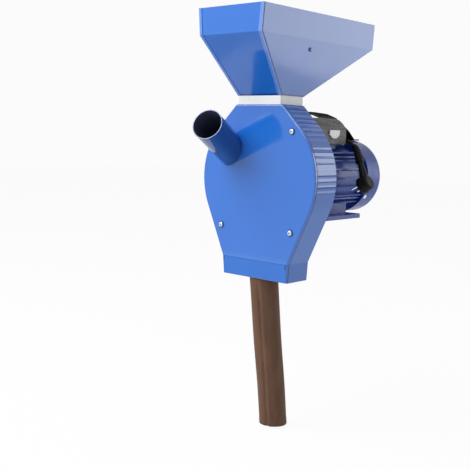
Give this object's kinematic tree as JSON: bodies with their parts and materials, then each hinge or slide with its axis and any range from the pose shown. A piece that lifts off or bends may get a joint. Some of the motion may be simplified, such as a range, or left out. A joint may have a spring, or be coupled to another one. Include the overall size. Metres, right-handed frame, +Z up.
{
  "type": "electric grain mill",
  "caption": "Electric grain mill: a finned motor spins a hammer rotor in a flat steel chamber, fed by hopper or cob pipe, emptying through a hanging sleeve.",
  "frame": {"origin": "centre of the four foot holes, on the underside of the motor feet", "axes": "+Z up, -Y towards the chamber cover, +Y along the motor to its fan, +X right seen from the cover"},
  "size_m": [0.27, 0.4215, 0.7957],
  "materials": {
    "blue_paint": "gloss blue paint",
    "motor_paint": "satin blue paint on ribbed aluminium",
    "collar_plastic": "off-white moulded plastic",
    "zinc": "bright zinc plate",
    "bare_steel": "bare rolled steel",
    "hardened_steel": "hardened steel, dark",
    "cast_alloy": "cast, machined seats",
    "iron_stack": "stacked electrical steel",
    "copper_turns": "varnished copper",
    "box_plastic": "grained dark grey plastic",
    "white_rubber": "white splash boot",
    "black_plastic": "black plastic",
    "cord_rubber": "black cord sheath",
    "strap_paint": "black paint",
    "felt": "dark felt",
    "sleeve_cloth": "coated brown cloth",
    "capacitor_can": "white plastic can"
  },
  "bodies": {
    "frame": {"front_cover": "blue_paint", "cover_gasket": "felt", "drum_band": "blue_paint", "back_plate": "blue_paint", "cover_posts": "bare_steel", "cover_screws": "zinc", "cob_pipe": "blue_paint", "throat_collar": "collar_plastic", "hopper_left": "blue_paint", "hopper_right": "blue_paint", "hopper_front": "blue_paint", "hopper_back": "blue_paint", "guard_rod": "blue_paint", "sieve": "bare_steel", "sieve_rails": "bare_steel", "outlet_funnel": "bare_steel", "discharge_sleeve": "sleeve_cloth", "sleeve_clamp": "zinc", "flange_bolts": "zinc", "front_shield": "motor_paint", "motor_barrel": "motor_paint", "motor_feet": "motor_paint", "rear_shield": "motor_paint", "tie_rods": "motor_paint", "front_bearing": "bare_steel", "rear_bearing": "bare_steel", "stator_core": "iron_stack", "stator_windings": "copper_turns", "fan_cover": "motor_paint", "fan_cover_screws": "zinc", "box_base": "box_plastic", "box_cover": "box_plastic", "box_screws": "zinc", "run_capacitor": "capacitor_can", "terminal_block": "black_plastic", "switch_body": "black_plastic", "cable_gland": "black_plastic", "carry_strap": "strap_paint", "strap_screws": "zinc", "cord_lead": "cord_rubber", "cord_coil": "cord_rubber", "cord_tie": "black_plastic", "cord_tail": "cord_rubber", "plug_body": "black_plastic", "plug_pins": "zinc"},
    "rotor": {"motor_shaft": "bare_steel", "rotor_core": "iron_stack", "cooling_fan": "black_plastic", "rotor_discs": "bare_steel", "hammer_pins": "hardened_steel", "hammer_spacers": "bare_steel", "rotor_nut": "zinc"},
    "hammer_1": {"hammer_1": "hardened_steel"},
    "hammer_2": {"hammer_2": "hardened_steel"},
    "hammer_3": {"hammer_3": "hardened_steel"},
    "hammer_4": {"hammer_4": "hardened_steel"},
    "gate": {"feed_gate": "zinc"},
    "button": {"switch_button": "white_rubber"}
  },
  "joints": [
    {"name": "rotor_spin", "type": "hinge", "parent": "frame", "child": "rotor", "pos_m": [0, -0.1525, 0.08], "axis": [0, 1, 0], "continuous": true},
    {"name": "hammer_1_swing", "type": "hinge", "parent": "rotor", "child": "hammer_1", "pos_m": [0.04243, -0.1611, 0.12243], "axis": [0, 1, 0], "continuous": true},
    {"name": "hammer_2_swing", "type": "hinge", "parent": "rotor", "child": "hammer_2", "pos_m": [-0.04243, -0.1495, 0.12243], "axis": [0, 1, 0], "continuous": true},
    {"name": "hammer_3_swing", "type": "hinge", "parent": "rotor", "child": "hammer_3", "pos_m": [-0.04243, -0.1611, 0.03757], "axis": [0, 1, 0], "continuous": true},
    {"name": "hammer_4_swing", "type": "hinge", "parent": "rotor", "child": "hammer_4", "pos_m": [0.04243, -0.1495, 0.03757], "axis": [0, 1, 0], "continuous": true},
    {"name": "feed_gate_slide", "type": "slide", "parent": "frame", "child": "gate", "axis": [0, 1, 0], "range_m": [0, 0.054]},
    {"name": "switch_press", "type": "slide", "parent": "frame", "child": "button", "axis": [-1, 0, 0], "range_m": [0, 0.0025], "stiffness_N_per_m": 500, "springref_m": -0.001}
  ]
}
